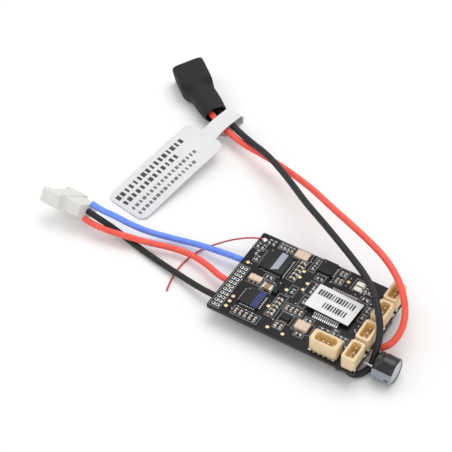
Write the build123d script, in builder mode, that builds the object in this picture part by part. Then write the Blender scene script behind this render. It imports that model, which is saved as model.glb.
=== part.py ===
"""Electronic speed controller board with its leads, plugs, capacitor and tag.

Millimetres.  +X runs along the board towards the capacitor, +Y across the board
and +Z up.  Z = 0 is the surface that the controller lies on, and the origin is
under the middle of the board and its capacitor, without the free leads.
"""

import os
from math import pi, radians, tan

from build123d import *

os.makedirs("parts", exist_ok=True)

# Circuit board
board_length = 38.0
board_width = 26.0
board_thickness = 0.8
board_top = 4.4
board_bottom = board_top - board_thickness
board_x = -3.75  # middle of the board along X
board_corner_radius = 0.5
tab_stub_x = 15.2  # break-off stubs on both long edges, from the board's middle
tab_stub_radius = 1.0
tab_stub_proud = 0.4

# Plug headers: four along the +X edge, and a longer one along the -Y edge
header_height = 3.7
header_floor = 0.9
header_corner = 0.45
side_header_size = (5.8, 3.4)
side_header_cavity = (4.5, 2.2)
side_header_x = 17.05
side_header_y = (10.1, 3.85, -3.15, -9.7)
side_header_ways = 3
side_header_pitch = 1.5
front_header_size = (7.0, 3.5)
front_header_cavity = (5.1, 2.3)
front_header_place = (10.47, -10.2)
front_header_ways = 4
front_header_pitch = 1.25
post_width = 0.32
post_height = 2.7
tail_reach = 0.45
tail_thickness = 0.2
solder_tab_size = (0.9, 0.5)  # width and height
solder_tab_inset = 0.6
side_tab_reach = 0.25

# Chips on top: middle, body size, height, pads on a side, pad pitch
radio_chip = ((-11.5, 6.0), (6.2, 6.2), 0.9, 11, 0.5)
processor_chip = ((-10.8, -5.9), (5.0, 5.0), 0.6, 8, 0.5)
gyro_chip = ((-0.5, 10.65), (3.8, 3.8), 0.9, 6, 0.5)
pad_reach = 0.4
pad_width = 0.26
pad_height = 0.12
driver_place = (6.5, 1.4)
driver_size = (10.4, 7.2)
driver_height = 1.2
driver_leads = 13
driver_lead_pitch = 0.5
driver_lead_width = 0.26
driver_lead_reach = 1.5
driver_lead_thickness = 0.2
sticker_size = (11.5, 7.2)
sticker_shift = (-0.18, -0.17)
sticker_turn = -2.4
sticker_thickness = 0.1

# Small two-ended chips: first place, step to the next, how many, turn in degrees
chip_length = 1.0
chip_width = 0.5
chip_height = 0.45
capacitor_rows = (
    (-6.2, 9.2, 0, -1.28, 5, 0),
    (-12.3, -10.9, 1.25, 0, 5, 90),
    (-5.3, -2.9, 0, -1.2, 5, 0),
    (-2.8, -4.1, 1.15, 0, 4, 90),
    (-2.4, -9.8, 1.15, 0, 2, 90),
    (2.9, 11.2, 1.0, 0, 2, 90),
    (2.9, 8.9, 1.0, 0, 2, 90),
)
resistor_rows = (
    (-13.1, 11.5, 0.95, 0, 4, 90),
    (-3.5, 11.4, 0, -2.0, 2, 90),
    (-0.6, 7.1, 0, 0, 1, 0),
    (-0.4, 4.6, 0, -1.6, 2, 90),
    (-0.4, -0.5, 0, 0, 1, 90),
    (11.3, 6.9, 0, 0, 1, 0),
    (-10.8, 1.5, 0, 0, 1, 0),
    (-4.1, 0.7, 0, 0, 1, 90),
    (7.0, -5.9, 1.4, 0, 2, 90),
    (9.9, -4.9, 0, 0, 1, 90),
    (11.8, -5.9, 1.1, 0, 2, 90),
    (3.2, -5.0, 0, -4.6, 2, 0),
    (13.2, 4.6, 0, -2.2, 2, 90),
    (10.2, 9.6, 1.0, 0, 2, 90),
    (-17.9, 8.9, 1.2, 0, 2, 90),
    (-17.1, 6.7, 1.0, -1.5, 2, 90),
    (-16.2, 11.2, 1.2, 0, 2, 90),
)

# Larger parts on top: middle, size, height
crystal = ((-7.45, 11.25), (3.3, 2.4), 0.5)
resonator = ((-13.2, -0.6), (3.1, 1.5), 0.7)
supply_inductor = ((-9.6, -1.35), (2.3, 1.7), 0.7)
smoothing_block = ((3.0, -7.4), (3.2, 2.4), 0.9)
transistor_places = ((-1.5, -7.3, 2.2, 1.3), (-7.5, -1.5, 1.3, 1.6))
transistor_height = 0.8
led_places = ((8.35, 10.4), (8.35, 8.8))
led_size = (1.8, 1.2)
led_height = 0.5

# Bare gold pads and the double row of edge pads
gold_places = (
    (-17.4, 3.0, 0.65), (-15.0, -7.6, 0.45), (-15.0, -9.2, 0.45), (-15.0, -10.8, 0.45),
    (-4.9, 7.3, 0.45), (-4.9, 5.3, 0.45), (-2.4, 4.5, 0.45), (-2.4, 2.4, 0.45),
    (-5.6, 0.4, 0.45), (-6.7, -5.9, 0.45), (-3.8, -11.3, 0.5), (0.1, -11.3, 0.5),
    (5.4, 9.8, 0.6),
)
foil = 0.06
edge_pad_rows = 11
edge_pad_pitch = 1.25
edge_pad_size = (0.85, 0.8)
edge_pad_spacing = 1.05
edge_pad_middle = (-17.25, -5.35)

# Power parts under the board
mosfet_size = (3.3, 3.3)
mosfet_height = 0.9
mosfet_x = (-13.0, -8.8, -4.6)
mosfet_y = (5.2, -6.2)
regulator_place = (16.45, 3.35)
regulator_size = (5.0, 4.9)
regulator_height = 1.3

# Smoothing capacitor, lying on the surface beyond the +X edge
can_radius = 3.15
can_length = 4.9
can_start_x = 17.85
can_y = -6.7
sleeve_thickness = 0.1
bung_length = 0.8
rim_fold = 0.35
capacitor_lead_radius = 0.25
capacitor_lead_spacing = 2.5
capacitor_lead_end_x = 13.0

# Free leads: diameters, and routes from the board to the plug
motor_lead_diameter = 1.5
battery_lead_diameter = 1.6
antenna_diameter = 0.4
power_joint_size = (1.6, 2.2, 1.5)
antenna_joint_size = (1.1, 1.1, 0.55)

# Motor plug, rolled onto its lower long edge by its stiff leads
motor_plug_rear = (-61.92, -3.15, 4.63)
motor_plug_turn = -10.3
motor_plug_roll = 38.5
motor_plug_width = 10.3
motor_plug_height = 3.6
motor_plug_front_length = 5.6
motor_plug_rear_length = 5.2
motor_plug_rear_width = 6.9
motor_plug_rear_height = 3.3
motor_plug_mouth_width = 6.6
motor_plug_mouth_depth = 1.4
motor_plug_cavity = (6.2, 2.3)
motor_plug_cavity_depth = 5.6
motor_plug_pitch = 2.0
motor_plug_corner = 0.3
motor_contact_radius = 0.55
motor_contact_wall = 0.2
motor_contact_length = 3.6

# Battery plug inside its shrunk sleeve
battery_plug_end = (-68.8, 52.7, 3.56)
battery_plug_turn = -39.9
battery_plug_roll = 11.0
battery_plug_size = (7.3, 7.7, 5.1)
battery_plug_pitch = 2.0
battery_slot = (1.1, 2.2)
battery_slot_depth = 5.6
battery_contact_size = (0.8, 1.6)
battery_contact_wall = 0.2
battery_contact_length = 4.4
shrink_gap = 0.05
shrink_wall = 0.4
shrink_radius = 1.3
shrink_block_length = 7.6
shrink_neck_middle = (-60.7, 46.75, 3.0)
shrink_neck_turn = -33.0
shrink_neck_length = 7.9
shrink_neck_size = (6.7, 5.0)
shrink_mouth_size = (6.0, 4.7)

# Tag: a folded label whose loop hangs loosely round the battery leads
tag_pivot = (-50.3, 40.4, 3.2)
tag_turn = -10.1
tag_slope = 6.9
tag_width = 12.0
tag_length = 30.0
tag_corner = 2.2
tag_thickness = 0.3
tag_offset = -0.5
tag_neck = 5.3
tag_shoulder = 0.8
strap_width = 4.4
strap_thickness = 0.2
loop_far_end = 4.7
loop_top = 1.6
loop_bottom = -1.75


def on_board(x, y):
    """Row position of a point given from the middle of the board."""
    return (board_x + x, y)


def write(piece, name):
    """Label a finished piece and write it to its own file."""
    piece.part.label = name
    export_step(piece.part, f"parts/{name}.step")


def row_places(rows):
    """Every place in rows of equal steps, with the turn of each."""
    return [
        (x + i * step_x, y + i * step_y, turn)
        for x, y, step_x, step_y, count, turn in rows
        for i in range(count)
    ]


# ---- Board -------------------------------------------------------------------

with BuildPart() as board:
    with BuildSketch(Plane.XY.offset(board_bottom)):
        with Locations(on_board(0, 0)):
            RectangleRounded(board_length, board_width, board_corner_radius)
        stub_y = board_width / 2 + tab_stub_proud - tab_stub_radius
        with Locations(on_board(tab_stub_x, stub_y), on_board(tab_stub_x, -stub_y)):
            Circle(tab_stub_radius)
    extrude(amount=board_thickness)
write(board, "circuit_board")

with BuildPart() as edge_pads:
    with BuildSketch(Plane.XY.offset(board_top)):
        with Locations(on_board(*edge_pad_middle)):
            with GridLocations(edge_pad_spacing, edge_pad_pitch, 2, edge_pad_rows):
                Rectangle(*edge_pad_size)
    extrude(amount=foil)
write(edge_pads, "edge_pads")

with BuildPart() as gold_pads:
    with BuildSketch(Plane.XY.offset(board_top)):
        for x, y, radius in gold_places:
            with Locations(on_board(x, y)):
                Circle(radius)
    extrude(amount=foil)
write(gold_pads, "gold_test_pads")


# ---- Plug headers ------------------------------------------------------------

def header_plane(place, turn):
    """Plane on the board with local X along the row of contacts."""
    x, y = on_board(*place)
    return Plane(origin=(x, y, board_top)).rotated((0, 0, turn))


def header_contacts(plane, size, ways, pitch):
    """Posts that stand in the cavity, each with a tail out of one long side."""
    tail_length = size[1] / 2 + tail_reach + post_width / 2
    with BuildPart() as contacts:
        with BuildSketch(plane):
            with Locations((0, tail_length / 2 - post_width / 2)):
                with GridLocations(pitch, 1, ways, 1):
                    Rectangle(post_width, tail_length)
        extrude(amount=tail_thickness)
        with BuildSketch(plane):
            with GridLocations(pitch, 1, ways, 1):
                Rectangle(post_width, post_width)
        extrude(amount=post_height)
    return contacts


def header_housing(plane, size, cavity, contacts):
    """Open-topped shroud with cut corners, fitted round its contacts."""
    with BuildPart() as housing:
        with BuildSketch(plane):
            Rectangle(*size)
            chamfer(vertices(), header_corner)
        extrude(amount=header_height)
        with BuildSketch(plane.offset(header_floor)):
            Rectangle(*cavity)
            chamfer(vertices(), header_corner)
        extrude(amount=header_height - header_floor, mode=Mode.SUBTRACT)
        add(contacts.part, mode=Mode.SUBTRACT)
    return housing


def header_tabs(plane, size, side, reach):
    """Solder tabs near the two ends of a header, on its +Y or -Y long side."""
    with BuildPart() as tabs:
        with BuildSketch(plane):
            with Locations((0, side * (size[1] + reach) / 2)):
                with GridLocations(size[0] - 2 * solder_tab_inset, 1, 2, 1):
                    Rectangle(solder_tab_size[0], reach)
        extrude(amount=solder_tab_size[1])
    return tabs


all_contacts = []
all_tabs = []
for number, y in enumerate(side_header_y, start=1):
    plane = header_plane((side_header_x, y), 90)
    contacts = header_contacts(plane, side_header_size, side_header_ways, side_header_pitch)
    housing = header_housing(plane, side_header_size, side_header_cavity, contacts)
    write(housing, f"side_header_{number}")
    all_contacts.append(contacts.part)
    all_tabs.append(header_tabs(plane, side_header_size, -1, side_tab_reach).part)

plane = header_plane(front_header_place, 180)
contacts = header_contacts(plane, front_header_size, front_header_ways, front_header_pitch)
write(header_housing(plane, front_header_size, front_header_cavity, contacts), "front_header")
all_contacts.append(contacts.part)
all_tabs.append(header_tabs(plane, front_header_size, 1, tail_reach).part)

with BuildPart() as contact_group:
    add(all_contacts)
write(contact_group, "header_contacts")

with BuildPart() as tab_group:
    add(all_tabs)
write(tab_group, "header_solder_tabs")


# ---- Chips on top ------------------------------------------------------------

def block_on_top(name, place, size, height):
    """A plain block standing on the board."""
    with BuildPart() as block:
        with BuildSketch(Plane.XY.offset(board_top)):
            with Locations(on_board(*place)):
                Rectangle(*size)
        extrude(amount=height)
    write(block, name)


def chip_with_pads(name, place, size, height, count, pitch):
    """A square chip and the row of solder pads along each of its sides."""
    block_on_top(name, place, size, height)
    middle = on_board(*place)
    with BuildPart() as pads:
        with BuildSketch(Plane.XY.offset(board_top)):
            for side in range(4):
                depth = size[side % 2] / 2 + pad_reach / 2
                with Locations(Location((*middle, 0), (0, 0, 90 * side)) * Pos(0, depth)):
                    with GridLocations(pitch, 1, count, 1):
                        Rectangle(pad_width, pad_reach)
        extrude(amount=pad_height)
    write(pads, f"{name}_pads")


chip_with_pads("radio_chip", *radio_chip)
chip_with_pads("processor_chip", *processor_chip)
chip_with_pads("gyro_chip", *gyro_chip)

block_on_top("driver_chip", driver_place, driver_size, driver_height)
driver_x, driver_y = on_board(*driver_place)

with BuildPart() as leads:
    row_length = (driver_leads - 1) * driver_lead_pitch
    for number in range(driver_leads):
        lead_x = driver_x - row_length / 2 + number * driver_lead_pitch - driver_lead_width / 2
        for facing in (1, -1):
            with BuildSketch(Plane.YZ.offset(lead_x)):
                with BuildLine():
                    edge = driver_y + facing * driver_size[1] / 2
                    shoulder = board_top + driver_height / 2
                    Polyline(
                        (edge, shoulder),
                        (edge + facing * 0.45, shoulder),
                        (edge + facing * 0.75, board_top + driver_lead_thickness),
                        (edge + facing * driver_lead_reach, board_top + driver_lead_thickness),
                        (edge + facing * driver_lead_reach, board_top),
                        (edge + facing * 0.6, board_top),
                        (edge + facing * 0.3, shoulder - driver_lead_thickness),
                        (edge, shoulder - driver_lead_thickness),
                        close=True,
                    )
                make_face()
            extrude(amount=driver_lead_width)
write(leads, "driver_chip_leads")

with BuildPart() as sticker:
    with BuildSketch(Plane.XY.offset(board_top + driver_height)):
        with Locations((driver_x + sticker_shift[0], driver_y + sticker_shift[1])):
            Rectangle(*sticker_size, rotation=sticker_turn)
    extrude(amount=sticker_thickness)
write(sticker, "driver_chip_sticker")

block_on_top("crystal", *crystal)
block_on_top("resonator", *resonator)
block_on_top("supply_inductor", *supply_inductor)
block_on_top("smoothing_block", *smoothing_block)


def small_parts(name, places, length, width, height):
    """Equal small blocks on the board, one solid each, in one node."""
    with BuildPart() as group:
        with BuildSketch(Plane.XY.offset(board_top)):
            for x, y, turn in places:
                with Locations(on_board(x, y)):
                    Rectangle(length, width, rotation=turn)
        extrude(amount=height)
    write(group, name)


small_parts("chip_capacitors", row_places(capacitor_rows), chip_length, chip_width, chip_height)
small_parts("chip_resistors", row_places(resistor_rows), chip_length, chip_width, chip_height)
small_parts("status_leds", [(x, y, 0) for x, y in led_places], *led_size, led_height)

with BuildPart() as transistors:
    for x, y, length, width in transistor_places:
        with BuildSketch(Plane.XY.offset(board_top)):
            with Locations(on_board(x, y)):
                Rectangle(length, width)
        extrude(amount=transistor_height)
write(transistors, "transistors")


# ---- Power parts underneath --------------------------------------------------

with BuildPart() as mosfets:
    with BuildSketch(Plane.XY.offset(board_bottom - mosfet_height)):
        for x in mosfet_x:
            with Locations(*[on_board(x, y) for y in mosfet_y]):
                Rectangle(*mosfet_size)
    extrude(amount=mosfet_height)
write(mosfets, "power_mosfets")

with BuildPart() as regulator:
    with BuildSketch(Plane.XY.offset(board_bottom - regulator_height)):
        with Locations(on_board(*regulator_place)):
            Rectangle(*regulator_size)
    extrude(amount=regulator_height)
write(regulator, "voltage_regulator")


# ---- Smoothing capacitor -----------------------------------------------------

can_plane = Plane(origin=(can_start_x, can_y, can_radius), x_dir=(0, 1, 0), z_dir=(1, 0, 0))
inner_radius = can_radius - sleeve_thickness

with BuildPart() as can:
    with BuildSketch(can_plane):
        Circle(inner_radius)
    extrude(amount=can_length - sleeve_thickness)
    with BuildSketch(can_plane):
        Circle(inner_radius - rim_fold)
    extrude(amount=bung_length, mode=Mode.SUBTRACT)
write(can, "capacitor_can")

with BuildPart() as can_sleeve:
    with BuildSketch(can_plane):
        Circle(can_radius)
        Circle(inner_radius, mode=Mode.SUBTRACT)
    extrude(amount=can_length - sleeve_thickness)
    with BuildSketch(can_plane.offset(can_length - sleeve_thickness)):
        Circle(can_radius)
        Circle(inner_radius - rim_fold, mode=Mode.SUBTRACT)
    extrude(amount=sleeve_thickness)
write(can_sleeve, "capacitor_sleeve")

lead_spots = GridLocations(capacitor_lead_spacing, 1, 2, 1)
with BuildPart() as bung:
    with BuildSketch(can_plane):
        Circle(inner_radius - rim_fold)
        with lead_spots:
            Circle(capacitor_lead_radius, mode=Mode.SUBTRACT)
    extrude(amount=bung_length)
write(bung, "capacitor_bung")

with BuildPart() as capacitor_leads:
    with BuildSketch(can_plane.offset(bung_length)):
        with lead_spots:
            Circle(capacitor_lead_radius)
    extrude(amount=-(can_start_x + bung_length - capacitor_lead_end_x))
write(capacitor_leads, "capacitor_leads")


# ---- Free leads --------------------------------------------------------------

def lead(name, route, diameter):
    """A tube along straight runs joined by the largest tangent arcs that fit."""
    points = [Vector(*point) for point in route]
    bends = []
    for before, here, after in zip(points, points[1:], points[2:]):
        shorter = min((here - before).length, (after - here).length)
        turn = radians((here - before).get_angle(after - here))
        bends.append(0.45 * shorter / tan(turn / 2))
    start = Plane(origin=points[0], z_dir=points[1] - points[0])
    with BuildPart() as tube:
        with BuildLine() as path:
            FilletPolyline(*points, radius=bends)
        with BuildSketch(start):
            Circle(diameter / 2)
        sweep()
    length = path.wire().length
    expected = pi * (diameter / 2) ** 2 * length
    print(f"{name}: length {length:.1f}, volume {tube.part.volume:.2f} of {expected:.2f},"
          f" radii {[round(bend, 1) for bend in bends]}")
    write(tube, name)


def solder_joint(name, outer_face, direction, size, under=True):
    """Solder that holds a lead's end, with a face that the lead meets squarely."""
    length, width, height = size
    level = board_bottom - height if under else board_top
    plane = Plane(origin=(*outer_face, level)).rotated((0, 0, direction))
    with BuildPart() as joint:
        with BuildSketch(plane):
            with Locations((length / 2, 0)):
                Rectangle(length, width)
        extrude(amount=height)
        outer_edges = joint.edges().group_by(Axis.Z)[0 if under else -1]
        far_edges = outer_edges.sort_by(lambda edge: (edge.center() - plane.origin).length)[1:]
        chamfer(far_edges, height / 4)
    write(joint, name)


motor_lead_blue_route = (
    (-22.0, 4.1, 2.85), (-24.5, 4.1, 2.85), (-29.0, 3.8, 2.55), (-34.9, 3.5, 2.0),
    (-41.5, 2.4, 1.4), (-47.24, 0.31, 2.5), (-51.2, -0.84, 3.8), (-54.3, -1.5, 5.0),
    (-56.4, -1.9, 5.7), (-58.49, -2.18, 5.87), (-61.64, -1.61, 5.87),
)
motor_lead_red_route = (
    (-22.0, -3.1, 2.85), (-24.7, -3.1, 2.85), (-29.4, -1.2, 2.4), (-34.4, -0.1, 2.0),
    (-39.6, -0.5, 1.9), (-45.8, -2.6, 2.4), (-50.7, -3.8, 2.8), (-54.9, -4.75, 3.1),
    (-59.05, -5.26, 3.38), (-62.2, -4.69, 3.38),
)
motor_lead_black_route = (
    (-22.0, -8.5, 2.85), (-24.2, -8.5, 2.85), (-28.2, -7.8, 2.2), (-33.6, -6.6, 1.5),
    (-39.3, -5.4, 1.0), (-45.8, -4.1, 0.8), (-51.9, -2.75, 0.95), (-55.3, -3.05, 2.8),
    (-58.77, -3.72, 4.63), (-61.92, -3.15, 4.63),
)
battery_lead_black_route = (
    (8.4, -8.6, 2.8), (10.22, -9.65, 2.8), (12.2, -10.9, 2.0), (14.5, -10.8, 1.0),
    (16.1, -8.8, 0.95), (16.75, -7.0, 1.9), (16.95, -6.6, 3.9), (16.85, -5.0, 6.2),
    (16.1, -2.4, 8.4), (14.0, 0.6, 10.2), (11.0, 4.3, 11.2), (7.0, 7.5, 11.8), (2.3, 10.3, 12.0),
    (-3.8, 14.0, 11.6), (-10.4, 18.2, 10.6), (-16.8, 22.3, 9.3), (-23.2, 26.9, 8.2),
    (-29.2, 31.0, 7.1), (-35.0, 34.6, 5.8), (-40.3, 36.9, 4.7), (-45.9, 39.5, 3.8),
    (-51.0, 42.1, 3.3), (-54.6, 44.1, 3.0), (-60.26, 46.84, 3.75), (-62.569, 48.77, 3.751),
)
battery_lead_red_route = (
    (11.4, -2.7, 2.75), (13.6, -2.7, 2.75), (16.2, -2.5, 2.7), (18.2, -0.9, 3.6),
    (19.0, 2.0, 5.0), (18.5, 5.3, 7.2), (16.2, 8.5, 9.6), (12.8, 11.6, 11.2),
    (8.0, 14.7, 11.9), (2.4, 17.5, 11.6), (-4.0, 20.8, 10.5), (-11.1, 24.6, 8.8),
    (-17.5, 28.5, 7.0), (-23.9, 31.6, 5.5), (-30.6, 34.1, 4.3), (-36.7, 35.8, 3.5),
    (-41.8, 36.6, 3.1), (-47.0, 38.1, 3.0), (-52.2, 40.3, 3.1), (-55.9, 42.35, 3.0),
    (-61.52, 45.33, 3.37), (-63.829, 47.264, 3.369),
)
antenna_route = (
    (-21.6, 10.9, 4.68), (-23.3, 10.3, 4.72), (-25.7, 9.4, 4.1), (-28.7, 8.3, 2.8),
    (-31.4, 6.9, 1.3), (-33.6, 4.9, 0.5), (-35.0, 2.3, 0.25), (-35.7, -0.6, 0.22),
    (-36.0, -3.6, 0.25), (-35.7, -6.7, 0.22), (-35.2, -9.2, 0.25), (-34.6, -11.2, 0.22),
)

lead("motor_lead_blue", motor_lead_blue_route, motor_lead_diameter)
lead("motor_lead_red", motor_lead_red_route, motor_lead_diameter)
lead("motor_lead_black", motor_lead_black_route, motor_lead_diameter)
lead("battery_lead_black", battery_lead_black_route, battery_lead_diameter)
lead("battery_lead_red", battery_lead_red_route, battery_lead_diameter)
lead("antenna_wire", antenna_route, antenna_diameter)

solder_joint("motor_joint_blue", (-22.0, 4.1), 0, power_joint_size)
solder_joint("motor_joint_red", (-22.0, -3.1), 0, power_joint_size)
solder_joint("motor_joint_black", (-22.0, -8.5), 0, power_joint_size)
solder_joint("battery_joint_black", (8.4, -8.6), 150, power_joint_size)
solder_joint("battery_joint_red", (11.4, -2.7), 180, power_joint_size)
solder_joint("antenna_joint", (-21.6, 10.9), -20, antenna_joint_size, under=False)


# ---- Motor plug --------------------------------------------------------------

# Local X runs from the leads towards the mouth, local Y across the three ways
motor_plug_plane = (
    Plane(origin=motor_plug_rear)
    .rotated((0, 0, motor_plug_turn + 180))
    .rotated((-motor_plug_roll, 0, 0))
)
motor_plug_length = motor_plug_rear_length + motor_plug_front_length
cavity_floor = motor_plug_length - motor_plug_mouth_depth - motor_plug_cavity_depth
along_plug = Plane(
    motor_plug_plane.origin, x_dir=motor_plug_plane.y_dir, z_dir=motor_plug_plane.x_dir
)

with BuildPart() as motor_contacts:
    with BuildSketch(along_plug.offset(cavity_floor)):
        with GridLocations(motor_plug_pitch, 1, 3, 1):
            Circle(motor_contact_radius)
            Circle(motor_contact_radius - motor_contact_wall, mode=Mode.SUBTRACT)
    extrude(amount=motor_contact_length)
write(motor_contacts, "motor_plug_contacts")

with BuildPart() as motor_housing:
    with BuildSketch(along_plug):
        RectangleRounded(motor_plug_rear_width, motor_plug_rear_height, motor_plug_corner)
    extrude(amount=motor_plug_rear_length)
    with BuildSketch(along_plug.offset(motor_plug_rear_length)):
        RectangleRounded(motor_plug_width, motor_plug_height, motor_plug_corner)
    extrude(amount=motor_plug_front_length)
    with BuildSketch(along_plug.offset(motor_plug_length - motor_plug_mouth_depth)):
        Rectangle(motor_plug_mouth_width, 2 * motor_plug_height)
    extrude(amount=motor_plug_mouth_depth, mode=Mode.SUBTRACT)
    with BuildSketch(along_plug.offset(cavity_floor)):
        Rectangle(*motor_plug_cavity)
    extrude(amount=motor_plug_length - cavity_floor, mode=Mode.SUBTRACT)
write(motor_housing, "motor_plug_housing")


# ---- Battery plug and its shrunk sleeve --------------------------------------

battery_plane = (
    Plane(origin=battery_plug_end)
    .rotated((0, 0, battery_plug_turn))
    .rotated((battery_plug_roll, 0, 0))
)
neck_plane = Plane(origin=shrink_neck_middle).rotated((0, 0, shrink_neck_turn))
along_sleeve, along_neck = (
    Plane(plane.origin, x_dir=plane.y_dir, z_dir=plane.x_dir) for plane in (battery_plane, neck_plane)
)
block_size = (
    battery_plug_size[1] + 2 * (shrink_gap + shrink_wall),
    battery_plug_size[2] + 2 * (shrink_gap + shrink_wall),
)

with BuildPart() as battery_housing:
    with BuildSketch(along_sleeve):
        RectangleRounded(battery_plug_size[1], battery_plug_size[2], shrink_radius - shrink_wall)
    extrude(amount=battery_plug_size[0])
    with BuildSketch(along_sleeve):
        with GridLocations(battery_plug_pitch, 1, 2, 1):
            Rectangle(*battery_slot)
    extrude(amount=battery_slot_depth, mode=Mode.SUBTRACT)
write(battery_housing, "battery_plug_housing")

with BuildPart() as battery_contacts:
    with BuildSketch(along_sleeve.offset(battery_slot_depth)):
        with GridLocations(battery_plug_pitch, 1, 2, 1):
            Rectangle(*battery_contact_size)
            offset(amount=-battery_contact_wall, kind=Kind.INTERSECTION, mode=Mode.SUBTRACT)
    extrude(amount=-battery_contact_length)
write(battery_contacts, "battery_plug_contacts")


def sleeve_solid(wall):
    """The sleeve's block, shoulder and neck, each drawn in by the wall."""
    block = (block_size[0] - 2 * wall, block_size[1] - 2 * wall, shrink_radius - wall)
    neck, mouth = (
        (size[0] - 2 * wall, size[1] - 2 * wall, size[1] / 2 - wall - 0.1)
        for size in (shrink_neck_size, shrink_mouth_size)
    )
    with BuildPart() as solid:
        with BuildSketch(along_sleeve):
            RectangleRounded(*block)
        extrude(amount=shrink_block_length)
        with BuildSketch(along_sleeve.offset(shrink_block_length)):
            RectangleRounded(*block)
        with BuildSketch(along_neck):
            RectangleRounded(*neck)
        loft()
        with BuildSketch(along_neck):
            RectangleRounded(*neck)
        with BuildSketch(along_neck.offset(shrink_neck_length)):
            RectangleRounded(*mouth)
        loft()
    return solid


with BuildPart() as shrink_sleeve:
    add(sleeve_solid(0).part)
    add(sleeve_solid(shrink_wall).part, mode=Mode.SUBTRACT)
write(shrink_sleeve, "shrink_sleeve")


# ---- Tag ---------------------------------------------------------------------

tag_frame = Plane(origin=tag_pivot).rotated((0, 0, tag_turn))
loop_plane = Plane(tag_frame.origin, x_dir=tag_frame.y_dir, z_dir=tag_frame.x_dir)
neck_height = tag_thickness / 2 + 0.75

with BuildPart() as tag_loop:
    with BuildSketch(loop_plane.offset(-strap_width / 2)):
        with BuildLine():
            Polyline(
                (-tag_neck, neck_height), (-2.4, loop_top), (loop_far_end, loop_top),
                (loop_far_end, loop_bottom), (-2.0, loop_bottom),
                (-tag_neck, neck_height - tag_thickness), close=True,
            )
        make_face()
        fillet(vertices().group_by(Axis.Y)[-1], 1.5)
        offset(amount=-strap_thickness, mode=Mode.SUBTRACT)
    extrude(amount=strap_width)
write(tag_loop, "tag_loop")

neck_point = tag_frame.from_local_coords((0, -tag_neck, neck_height - tag_thickness / 2))
sheet_plane = Plane(origin=neck_point).rotated((0, 0, tag_turn)).rotated((tag_slope, 0, 0))

with BuildPart() as tag_sheet:
    with BuildSketch(sheet_plane.offset(-tag_thickness / 2)):
        with Locations((tag_offset, -tag_shoulder - tag_length / 2)):
            RectangleRounded(tag_width, tag_length, tag_corner)
        with Locations((0, -tag_shoulder)):
            Rectangle(strap_width, 2 * tag_shoulder)
    extrude(amount=tag_thickness)
write(tag_sheet, "tag_sheet")
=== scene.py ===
import math
import random

import bmesh
import bpy
from mathutils import Euler, Matrix, Vector, noise


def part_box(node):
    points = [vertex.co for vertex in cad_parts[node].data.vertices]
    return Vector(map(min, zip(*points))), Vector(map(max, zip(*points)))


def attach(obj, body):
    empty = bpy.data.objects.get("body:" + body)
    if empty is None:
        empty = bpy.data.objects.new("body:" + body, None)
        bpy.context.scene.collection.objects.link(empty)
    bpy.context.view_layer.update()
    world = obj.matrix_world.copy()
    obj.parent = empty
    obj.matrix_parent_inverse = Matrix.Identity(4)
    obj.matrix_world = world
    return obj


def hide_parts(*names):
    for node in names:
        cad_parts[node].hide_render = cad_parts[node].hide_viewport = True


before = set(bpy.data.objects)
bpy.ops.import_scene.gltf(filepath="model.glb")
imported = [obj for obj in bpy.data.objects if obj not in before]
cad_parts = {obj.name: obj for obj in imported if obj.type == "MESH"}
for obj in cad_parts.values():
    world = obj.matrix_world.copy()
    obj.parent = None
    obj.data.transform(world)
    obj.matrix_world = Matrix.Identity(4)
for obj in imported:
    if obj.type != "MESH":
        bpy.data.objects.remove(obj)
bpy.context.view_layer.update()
mm = 0.001
mainBody = "controller"


def shade(red, green, blue):
    # a colour as it looks on screen, 0 to 255, turned into the shader's linear values
    def linear(value):
        value /= 255
        return value / 12.92 if value < 0.04 else ((value + 0.055) / 1.055) ** 2.4
    return (linear(red), linear(green), linear(blue), 1)


def addNode(tree, kind, feeds=None, **settings):
    # works for shader trees and geometry trees: feeds are sockets or plain values
    node = tree.nodes.new(kind)
    for key, value in settings.items():
        setattr(node, key, value)
    for socket, source in (feeds or {}).items():
        if isinstance(source, bpy.types.NodeSocket):
            tree.links.new(source, node.inputs[socket])
        else:
            node.inputs[socket].default_value = source
    return node


def inScene(name, data):
    placed = bpy.data.objects.new(name, data)
    bpy.context.scene.collection.objects.link(placed)
    return placed


# Camera, light and floor

view = {
    "target": (-31.43, 10.04, 4.4),
    "azimuth": 31.38,
    "elevation": 47.63,
    "distance": 402.1,
    "lens": 135.4,
}
lamps = {
    "overhead": {"place": (-40, 190, 420), "size": 380, "power": 0.8},
    "frontFill": {"place": (160, -330, 260), "size": 420, "power": 0.28},
    "leftSoft": {"place": (-420, -60, 240), "size": 360, "power": 0.22},
}
room = {"glow": 0.74, "floorSize": 6, "floorShade": 0.93, "floorRoughness": 0.9}


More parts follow.
